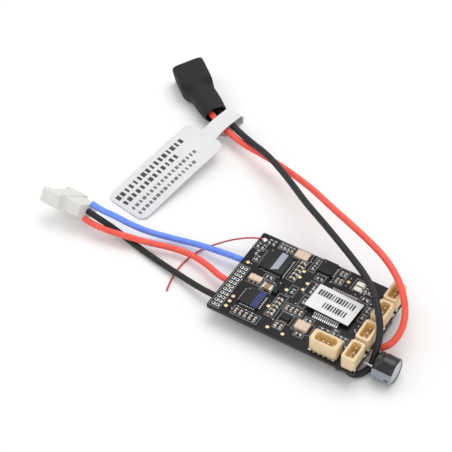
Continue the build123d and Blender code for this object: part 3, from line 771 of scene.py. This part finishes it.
def makePads():
    pad = block("edgePad", (-0.42, -0.4, 0), (0.42, 0.4, 0.06), 0.02)
    spread("edge_pad_plating", pad, boxPlaces("edge_pads"), "tin", "tinned_pad", ["edge_pads"])
    hole = tubeRing("padHole", 0.27, 0.02, 0.03, 16)
    holes = [(x, y, z + 0.045, turn) for x, y, z, turn in boxPlaces("edge_pads")]
    spread("edge_pad_holes", hole, holes, "mask", "solder_mask")

    low, high = zip(*solidBoxes("gold_test_pads"))
    rings = []
    for first, last in zip(low, high):
        middle = (first + last) / 2 / mm
        rings.append((middle.x, middle.y, first.z / mm, 0))
    button = disc("goldButton", ((0, 0), (0, 0.42), (0.05, 0.46), (0.09, 0.4), (0.12, 0)), 24)
    spread("gold_pads", button, rings, "gold", "gold_plating", ["gold_test_pads"])


makeBoard()
makePads()
print("board made")


# Plug headers

headerPlan = {
    "edge": 0.09,
    "inset": 0.48,
    "rim": 0.12,
    "names": ("side_header_1", "side_header_2", "side_header_3", "side_header_4", "front_header"),
}


def makeHeaders():
    for node in headerPlan["names"]:
        low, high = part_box(node)
        piece = softened(node, "cream", headerPlan["edge"])
        piece.data.materials.append(finishes["creamPaintedGlow"])
        # faces inside the socket below the rim get the painted glow: a deeper golden standing for light
        # through the nylon
        inset = headerPlan["inset"] * mm
        for face in piece.data.polygons:
            middle = face.center
            inside = low.x + inset < middle.x < high.x - inset and low.y + inset < middle.y < high.y - inset
            if inside and middle.z < high.z - headerPlan["rim"] * mm:
                face.material_index = 1
    softened("header_contacts", "tin", 0.05)
    softened("header_solder_tabs", "solder", 0.12)


makeHeaders()
print("headers made")


# Chips

padGap = 0.02  # from a chip's side to where its pads are centred
mosfetFeet = {"count": 4, "pitch": 0.65}
chipPlan = {
    "edge": 0.06,
    "quads": {
        "radio_chip": {"finish": "radio", "count": 11, "pitch": 0.5},
        "processor_chip": {"finish": "processor", "count": 8, "pitch": 0.5},
        "gyro_chip": {"finish": "epoxy", "count": 6, "pitch": 0.5},
    },
}


def makeQuads():
    for node, plan in chipPlan["quads"].items():
        low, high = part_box(node)
        softened(node, plan["finish"], chipPlan["edge"])
        pad = block("quadPad", (-0.13, -0.25, 0), (0.13, 0.35, 0.13), 0.03)
        middle = (low + high) / 2 / mm
        growRing(f"{node}_solder_pads", [(middle.x, middle.y, boardPlan["top"], 0)], pad, "tin",
                 "tinned_pad", [f"{node}_pads"], Count=plan["count"], Pitch=plan["pitch"] * mm,
                 Reach=(high.x - low.x) / 2 + padGap * mm, Sides=4)
        dot = disc("pinDot", ((0, 0), (0, 0.24), (0.012, 0.24), (0.012, 0)), 20)
        corner = (low.x / mm + 0.65, high.y / mm - 0.65, high.z / mm - 0.004, 0)
        spread(f"{node}_pin_mark", dot, [corner], "inkSoft", "chip_epoxy")


gullWing = {
    "count": 13,
    "pitch": 0.5,
    "width": 0.26,
    "thickness": 0.16,
    "path": ((0.0, 0.62), (0.42, 0.62), (0.56, 0.54), (0.7, 0.18), (0.84, 0.08), (1.5, 0.08)),
}


def bentLead():
    # one gull-wing lead that runs out along +Y from the chip's side
    shape = bmesh.new()
    path = [Vector((0, y, z)) * mm for y, z in gullWing["path"]]
    half = gullWing["thickness"] / 2 * mm
    sections = []
    for index, point in enumerate(path):
        before = path[max(index - 1, 0)]
        after = path[min(index + 1, len(path) - 1)]
        along = (after - before).normalized()
        out = Vector((0, -along.z, along.y))
        sections.append([
            shape.verts.new(point + out * up * half + Vector((side * gullWing["width"] / 2 * mm, 0, 0)))
            for side, up in ((-1, -1), (1, -1), (1, 1), (-1, 1))
        ])
    return stripFrom(shape, sections, "bentLead")


stickerPlan = {
    "rows": ((-4.5, 1.75, 14, 3), (-1.9, -1.3, 9, 8)),  # start x, y, dashes and seed
    "turn": -2.4,
    "pitch": 0.68,
    "height": 1.75,
    "thickness": 0.012,
}


def makeDriver():
    low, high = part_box("driver_chip")
    softened("driver_chip", "epoxy", chipPlan["edge"])
    middle = (low + high) / 2 / mm
    lead = bentLead()
    growRing("driver_chip_gull_wings", [(middle.x, middle.y, boardPlan["top"], 0)], lead, "tin",
             "tinned_metal", ["driver_chip_leads"], Count=gullWing["count"],
             Pitch=gullWing["pitch"] * mm, Reach=(high.y - low.y) / 2, Sides=2)

    softened("driver_chip_sticker", "label", 0.03)
    low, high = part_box("driver_chip_sticker")
    middle = (low + high) / 2 / mm
    for number, (x, y, count, seed) in enumerate(stickerPlan["rows"], start=1):
        start = (middle.x + x, middle.y + y, high.z / mm, stickerPlan["turn"])
        row = pointCloud(f"sticker_print_{number}", [start])
        grow(row, "print", "ink", Count=count, Pitch=stickerPlan["pitch"] * mm,
             Height=stickerPlan["height"] * mm, Thickness=stickerPlan["thickness"] * mm, Seed=seed)
        settle(row, None)


smallParts = {
    "chip_capacitors": {
        "body": "dielectric", "slot": "capacitor_ceramic", "size": (1.0, 0.5, 0.45), "cap": 0.26},
    "chip_resistors": {"body": "glaze", "slot": "resistor_glaze", "size": (1.0, 0.5, 0.4), "cap": 0.24},
    "status_leds": {"body": "resin", "slot": "led_resin", "size": (1.8, 1.2, 0.5), "cap": 0.2},
    "supply_inductor": {"body": "dielectric", "slot": "tan_ceramic", "size": (2.3, 1.7, 0.7), "cap": 0.5},
}
packages = {
    "crystal": {"finish": "tan", "slot": "tan_ceramic", "feet": 2, "pitch": 2.2, "reach": 0.3},
    "smoothing_block": {"finish": "tan", "slot": "tan_ceramic", "feet": 2, "pitch": 1.9, "reach": 0.34},
    "resonator": {"finish": "tan", "slot": "tan_ceramic", "feet": 3, "pitch": 1.05, "reach": 0.5},
    "transistors": {"finish": "epoxy", "slot": "chip_epoxy", "feet": 3, "pitch": 0.62, "reach": 0.34},
}


def makeSmallParts():
    # each is a body between two metal ends, with solder that slopes down to wider pads
    for node, plan in smallParts.items():
        cap = plan["cap"]
        half, side, height = plan["size"][0] / 2, plan["size"][1] / 2, plan["size"][2]
        reach = half - cap * 0.8
        body = block("smallBody", (-reach, -side + 0.02, 0.02), (reach, side - 0.02, height), 0.04)
        ends = []
        lands = []
        for way in (-1, 1):
            low, high = sorted((way * half, way * (half - cap)))
            ends.append(block("smallEnd", (low, -side, 0.0), (high, side, height - 0.01), 0.05))
            low, high = sorted((way * (half - cap), way * (half + 0.16)))
            wide = side * 0.96
            ends.append(block("smallFillet", (low, -wide, 0.0), (high, wide, height * 0.34), 0.06))
            low, high = sorted((way * (half - cap - 0.06), way * (half + 0.3)))
            lands.append(block("smallLand", (low, -side - 0.14, 0.0), (high, side + 0.14, 0.05), 0.02))
        places = boxPlaces(node)
        spread(f"{node}_bodies", body, places, plan["body"], plan["slot"], [node])
        spread(f"{node}_ends", joined("smallEnds", ends), places, "tin", "tinned_metal")
        spread(f"{node}_lands", joined("smallLands", lands), places, "padTin", "tinned_pad")


def makePackages():
    # ceramic and moulded packages that stand on rows of feet along two sides
    for node, plan in packages.items():
        softened(node, plan["finish"], 0.09)
        for number, (low, high) in enumerate(solidBoxes(node), start=1):
            size = high - low
            if size.y > size.x:
                continue  # the one that stands across the board has no feet modelled
            foot = block("packageFoot", (-0.21, -0.3, 0), (0.21, plan["reach"], 0.12), 0.03)
            middle = (low + high) / 2 / mm
            growRing(f"{node}_feet_{number}", [(middle.x, middle.y, boardPlan["top"], 0)], foot, "padTin",
                     "tinned_pad", Count=plan["feet"], Pitch=plan["pitch"] * mm, Reach=size.y / 2, Sides=2)


def makeUnderside():
    softened("power_mosfets", "epoxy", 0.07)
    softened("voltage_regulator", "epoxy", 0.1)
    pad = block("powerPad", (-0.2, -0.2, 0), (0.2, 0.38, 0.2), 0.04)
    places = [(place[0], place[1], boardPlan["bottom"] - 0.2, 0) for place in boxPlaces("power_mosfets")]
    low, high = solidBoxes("power_mosfets")[0]
    growRing("power_mosfet_pads", places, pad, "tin", "tinned_pad", Count=mosfetFeet["count"],
             Pitch=mosfetFeet["pitch"] * mm, Reach=(high.x - low.x) / 2 + padGap * mm, Sides=2)


makeQuads()
makeDriver()
makeSmallParts()
makePackages()
makeUnderside()
print("chips made")


# Smoothing capacitor

canShape = {
    "start": 17.85,
    "end": 22.75,
    "film": ((0.0, 2.72), (0.03, 2.92), (0.15, 3.06), (0.4, 3.13), (0.75, 3.11), (0.95, 2.99), (1.12, 2.96),
             (1.3, 2.99), (1.5, 3.11), (1.8, 3.15), (4.45, 3.15), (4.66, 3.12), (4.82, 3.02), (4.9, 2.86),
             (4.88, 2.62), (4.82, 2.62), (4.8, 2.84), (4.4, 3.04), (1.8, 3.04), (1.12, 2.85), (0.4, 3.02),
             (0.12, 2.9), (0.1, 2.72)),
    "metal": ((0.75, 0), (0.75, 2.68), (0.12, 2.72), (0.14, 2.86), (0.4, 2.98), (1.12, 2.82), (1.8, 3.0),
              (4.45, 3.0), (4.7, 2.92), (4.79, 2.7), (4.8, 2.55), (4.78, 2.4), (4.78, 0)),
}


def makeCapacitor():
    middle = (canPlace["y"], canPlace["z"])
    start = canShape["start"]
    film = lathe("capacitor_film", [(start + x, r) for x, r in canShape["film"]], middle, 96, closed=True)
    settle(film, "canFilm", ["capacitor_sleeve"])
    metal = lathe("capacitor_metal_can", [(start + x, r) for x, r in canShape["metal"]], middle, 96)
    settle(metal, "canMetal", ["capacitor_can"])
    softened("capacitor_bung", "bung", 0.12)
    softened("capacitor_leads", "tin", 0.04)


makeCapacitor()
print("capacitor made")


# Solder

def makeSolder():
    joints = [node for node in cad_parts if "_joint" in node]
    for node in sorted(joints):
        shape = cadCopy(node)
        roundEdges(shape, 0.16 if node == "antenna_joint" else 0.4, 4)
        settle(pieceFrom(shape, f"{node}_lump"), "solder", [node])


makeSolder()
print("solder made")


# Motor plug

def makeMotorPlug():
    housing = softened("motor_plug_housing", "nylon", 0.14)
    contacts = softened("motor_plug_contacts", "tin", 0.03)
    return [housing, contacts]


motorEnd = makeMotorPlug()
print("motor plug made")


# Battery plug in its shrunk sleeve

sleevePlan = {
    "end": (-68.8, 52.7, 3.56),
    "turn": -39.9,
    "roll": 11.0,
    "neck": (-60.7, 46.75, 3.0),
    "neckTurn": -33.0,
    "neckStart": 10.2,
    "wall": 0.4,
    "steps": 72,
    # along, half width, half height, squareness, share of the neck's own direction
    "sections": (
        (0.0, 3.98, 2.68, 6.5, 0), (0.14, 4.17, 2.87, 6.5, 0), (0.6, 4.28, 2.98, 6.2, 0),
        (1.5, 4.3, 3.0, 6.0, 0), (3.5, 4.3, 3.0, 6.0, 0), (5.6, 4.3, 3.0, 6.0, 0),
        (6.9, 4.3, 3.0, 5.6, 0), (7.6, 4.24, 2.97, 5.0, 0.05),
        (8.3, 4.02, 2.86, 4.4, 0.25), (9.0, 3.76, 2.7, 3.8, 0.55), (9.7, 3.52, 2.58, 3.4, 0.85),
        (10.4, 3.38, 2.5, 3.1, 1), (12.0, 3.36, 2.48, 2.8, 1), (13.8, 3.42, 2.5, 2.7, 1),
        (15.4, 3.34, 2.48, 2.6, 1), (16.8, 3.14, 2.42, 2.4, 1), (17.7, 3.02, 2.36, 2.2, 1),
        (18.1, 2.98, 2.33, 2.1, 1),
    ),
    "dimples": ((8.9, 3.0, 0.9, 0.8), (8.7, -3.1, 1.3, 0.85)),  # along, across, depth, spread
    "wrinkle": 0.05,
    "shoulder": 6.5,
}


def sleevePoint(along, angle, half, high, power):
    cosine, sine = math.cos(angle), math.sin(angle)
    across = half * math.copysign(abs(cosine) ** (2 / power), cosine)
    up = high * math.copysign(abs(sine) ** (2 / power), sine)
    for place, side, depth, width in sleevePlan["dimples"]:
        if up > 0:
            up -= depth * math.exp(-((along - place) ** 2 + (across - side) ** 2) / width ** 2)
    past = along - sleevePlan["shoulder"]
    if past > 0:
        ripple = noise.noise(Vector((along * 0.5, across * 0.6, up * 0.6)))
        scale = 1 - sleevePlan["wrinkle"] * max(ripple, -0.2) * min(past / 2, 1)
        across *= scale
        up *= scale
    return Vector((along, across, up))


def sleeveFrame(share):
    # where the block lies, where the neck lies, or a mix of the two in the shoulder
    block = Matrix.Translation(Vector(sleevePlan["end"])) @ Euler((
        math.radians(sleevePlan["roll"]), 0, math.radians(sleevePlan["turn"]))).to_matrix().to_4x4()
    neck = Matrix.Translation(Vector(sleevePlan["neck"])) @ Matrix.Rotation(
        math.radians(sleevePlan["neckTurn"]), 4, "Z")
    neck = neck @ Matrix.Translation(Vector((-sleevePlan["neckStart"], 0, 0)))
    return block.lerp(neck, share)


def makeSleeve():
    shape = bmesh.new()
    rings = []
    outward = [(section, 0) for section in sleevePlan["sections"]]
    inward = [(section, sleevePlan["wall"]) for section in reversed(sleevePlan["sections"])]
    for (along, half, high, power, share), inset in outward + inward:
        place = sleeveFrame(share)
        ring = []
        for step in range(sleevePlan["steps"]):
            angle = 2 * math.pi * step / sleevePlan["steps"]
            point = sleevePoint(along, angle, half - inset, high - inset, power)
            ring.append(shape.verts.new((place @ point) * mm))
        rings.append(ring)
    skin(shape, rings + rings[:1])
    bmesh.ops.recalc_face_normals(shape, faces=shape.faces[:])
    sleeve = pieceFrom(shape, "shrunk_tube", sharpAngle=70)
    settle(sleeve, "shrink", ["shrink_sleeve"])
    smoother = sleeve.modifiers.new("smoother", "SUBSURF")
    smoother.levels = smoother.render_levels = 1
    housing = softened("battery_plug_housing", "nylon", 0.1)
    contacts = softened("battery_plug_contacts", "tin", 0.03)
    return [sleeve, housing, contacts]


batteryEnd = makeSleeve()
print("battery plug made")


# Tag

tagPlan = {
    "pivot": (-50.3, 40.4, 3.2),
    "turn": -10.1,
    "slope": 6.9,
    "neck": (0, -5.3, 0.75),
    "middle": (-0.5, -15.8),
    "size": (12.0, 30.0),
    "corner": 2.2,
    "thickness": 0.3,
    "bow": 0.35,
    "strapWidth": 4.4,
    "strapThickness": 0.2,
    "strap": ((-5.3, 0.75), (-2.4, 1.5), (4.6, 1.5), (4.6, -1.65), (-2.0, -1.65), (-5.3, 0.7)),
    "strapBends": (6.0, 1.45, 0.45, 1.2),
    # x, start y, dashes, pitch, height, finish and seed of each printed row
    "rows": (
        (-4.0, -29.3, 16, 1.5, 1.5, "ink", 21), (-1.6, -29.3, 13, 1.5, 1.4, "ink", 22),
        (1.0, -29.3, 18, 1.3, 1.0, "inkSoft", 23), (3.2, -29.3, 16, 1.3, 1.0, "inkSoft", 24),
    ),
}


def tagMatrix():
    turn = Matrix.Rotation(math.radians(tagPlan["turn"]), 4, "Z")
    neck = Vector(tagPlan["pivot"]) + turn @ Vector(tagPlan["neck"])
    slope = Matrix.Rotation(math.radians(tagPlan["slope"]), 4, "X")
    return Matrix.Translation(neck * mm) @ turn @ slope


def bowTag(mesh):
    # the film stands a little proud of a flat sheet along its middle
    length = tagPlan["size"][1]
    for vert in mesh.vertices:
        share = min(max(-vert.co.y / mm / length, 0), 1)
        vert.co.z += tagPlan["bow"] * mm * math.sin(math.pi * share)
    mesh.transform(tagMatrix())


def arcPoints(middle, radius, start, finish, steps=8):
    return [
        (middle[0] + radius * math.cos(math.radians(start + (finish - start) * i / steps)),
         middle[1] + radius * math.sin(math.radians(start + (finish - start) * i / steps)))
        for i in range(steps + 1)
    ]


def makeTagSheet():
    wide, long = tagPlan["size"][0] / 2, tagPlan["size"][1] / 2
    x, y, r = *tagPlan["middle"], tagPlan["corner"]
    strap = tagPlan["strapWidth"] / 2
    outline = arcPoints((x + wide - r, y + long - r), r, 0, 90)
    outline += [(strap, y + long), (strap, 0), (-strap, 0), (-strap, y + long)]
    outline += arcPoints((x - wide + r, y + long - r), r, 90, 180)
    outline += arcPoints((x - wide + r, y - long + r), r, 180, 270)
    outline += arcPoints((x + wide - r, y - long + r), r, 270, 360)
    shape = bmesh.new()
    corners = [shape.verts.new((px * mm, py * mm, -tagPlan["thickness"] / 2 * mm)) for px, py in outline]
    shape.faces.new(corners)
    for cut in range(1, 30):
        everything = shape.verts[:] + shape.edges[:] + shape.faces[:]
        bmesh.ops.bisect_plane(shape, geom=everything, plane_co=(0, -cut * mm, 0), plane_no=(0, 1, 0))
    bmesh.ops.recalc_face_normals(shape, faces=shape.faces[:])
    for face in shape.faces:
        if face.normal.z < 0:
            face.normal_flip()
    lifted = bmesh.ops.extrude_face_region(shape, geom=shape.faces[:])["geom"]
    for item in lifted:
        if isinstance(item, bmesh.types.BMVert):
            item.co.z += tagPlan["thickness"] * mm
    bmesh.ops.recalc_face_normals(shape, faces=shape.faces[:])
    sheet = pieceFrom(shape, "tag_label")
    bowTag(sheet.data)
    settle(sheet, "tag", ["tag_sheet"], "tag")

    for number, (px, py, count, pitch, height, finish, seed) in enumerate(tagPlan["rows"], start=1):
        row = pointCloud(f"tag_print_{number}", [(px, py, tagPlan["thickness"] / 2, 90)])
        grow(row, "print", finish, Count=count, Pitch=pitch * mm, Height=height * mm,
             Thickness=0.02 * mm, Seed=seed)
        bowTag(row.data)
        settle(row, None, body="tag")


def roundedPath(points, radii, steps=8):
    # a path with an arc in place of each inner corner
    path = [Vector(points[0])]
    for before, here, after, radius in zip(points, points[1:], points[2:], radii):
        here = Vector(here)
        inward = (Vector(before) - here).normalized()
        onward = (Vector(after) - here).normalized()
        half = inward.angle(onward) / 2
        middle = here + (inward + onward).normalized() * radius / math.sin(half)
        first = here + inward * radius / math.tan(half) - middle
        last = here + onward * radius / math.tan(half) - middle
        for step in range(steps + 1):
            path.append(middle + (first * (steps - step) + last * step).normalized() * radius)
    path.append(Vector(points[-1]))
    return path


def makeTagLoop():
    path = roundedPath(tagPlan["strap"], tagPlan["strapBends"])
    turn = Matrix.Rotation(math.radians(tagPlan["turn"]), 4, "Z")
    half = tagPlan["strapThickness"] / 2
    shape = bmesh.new()
    sections = []
    for index, point in enumerate(path):
        along = (path[min(index + 1, len(path) - 1)] - path[max(index - 1, 0)]).normalized()
        out = Vector((-along.y, along.x))
        section = []
        for side, up in ((-1, -1), (1, -1), (1, 1), (-1, 1)):
            spot = point + out * up * half
            place = Vector((side * tagPlan["strapWidth"] / 2, spot.x, spot.y))
            section.append(shape.verts.new((Vector(tagPlan["pivot"]) + turn @ place) * mm))
        sections.append(section)
    loop = stripFrom(shape, sections, "tag_strap")
    settle(loop, "tag", ["tag_loop"], "tag")


makeTagSheet()
makeTagLoop()
print("tag made")
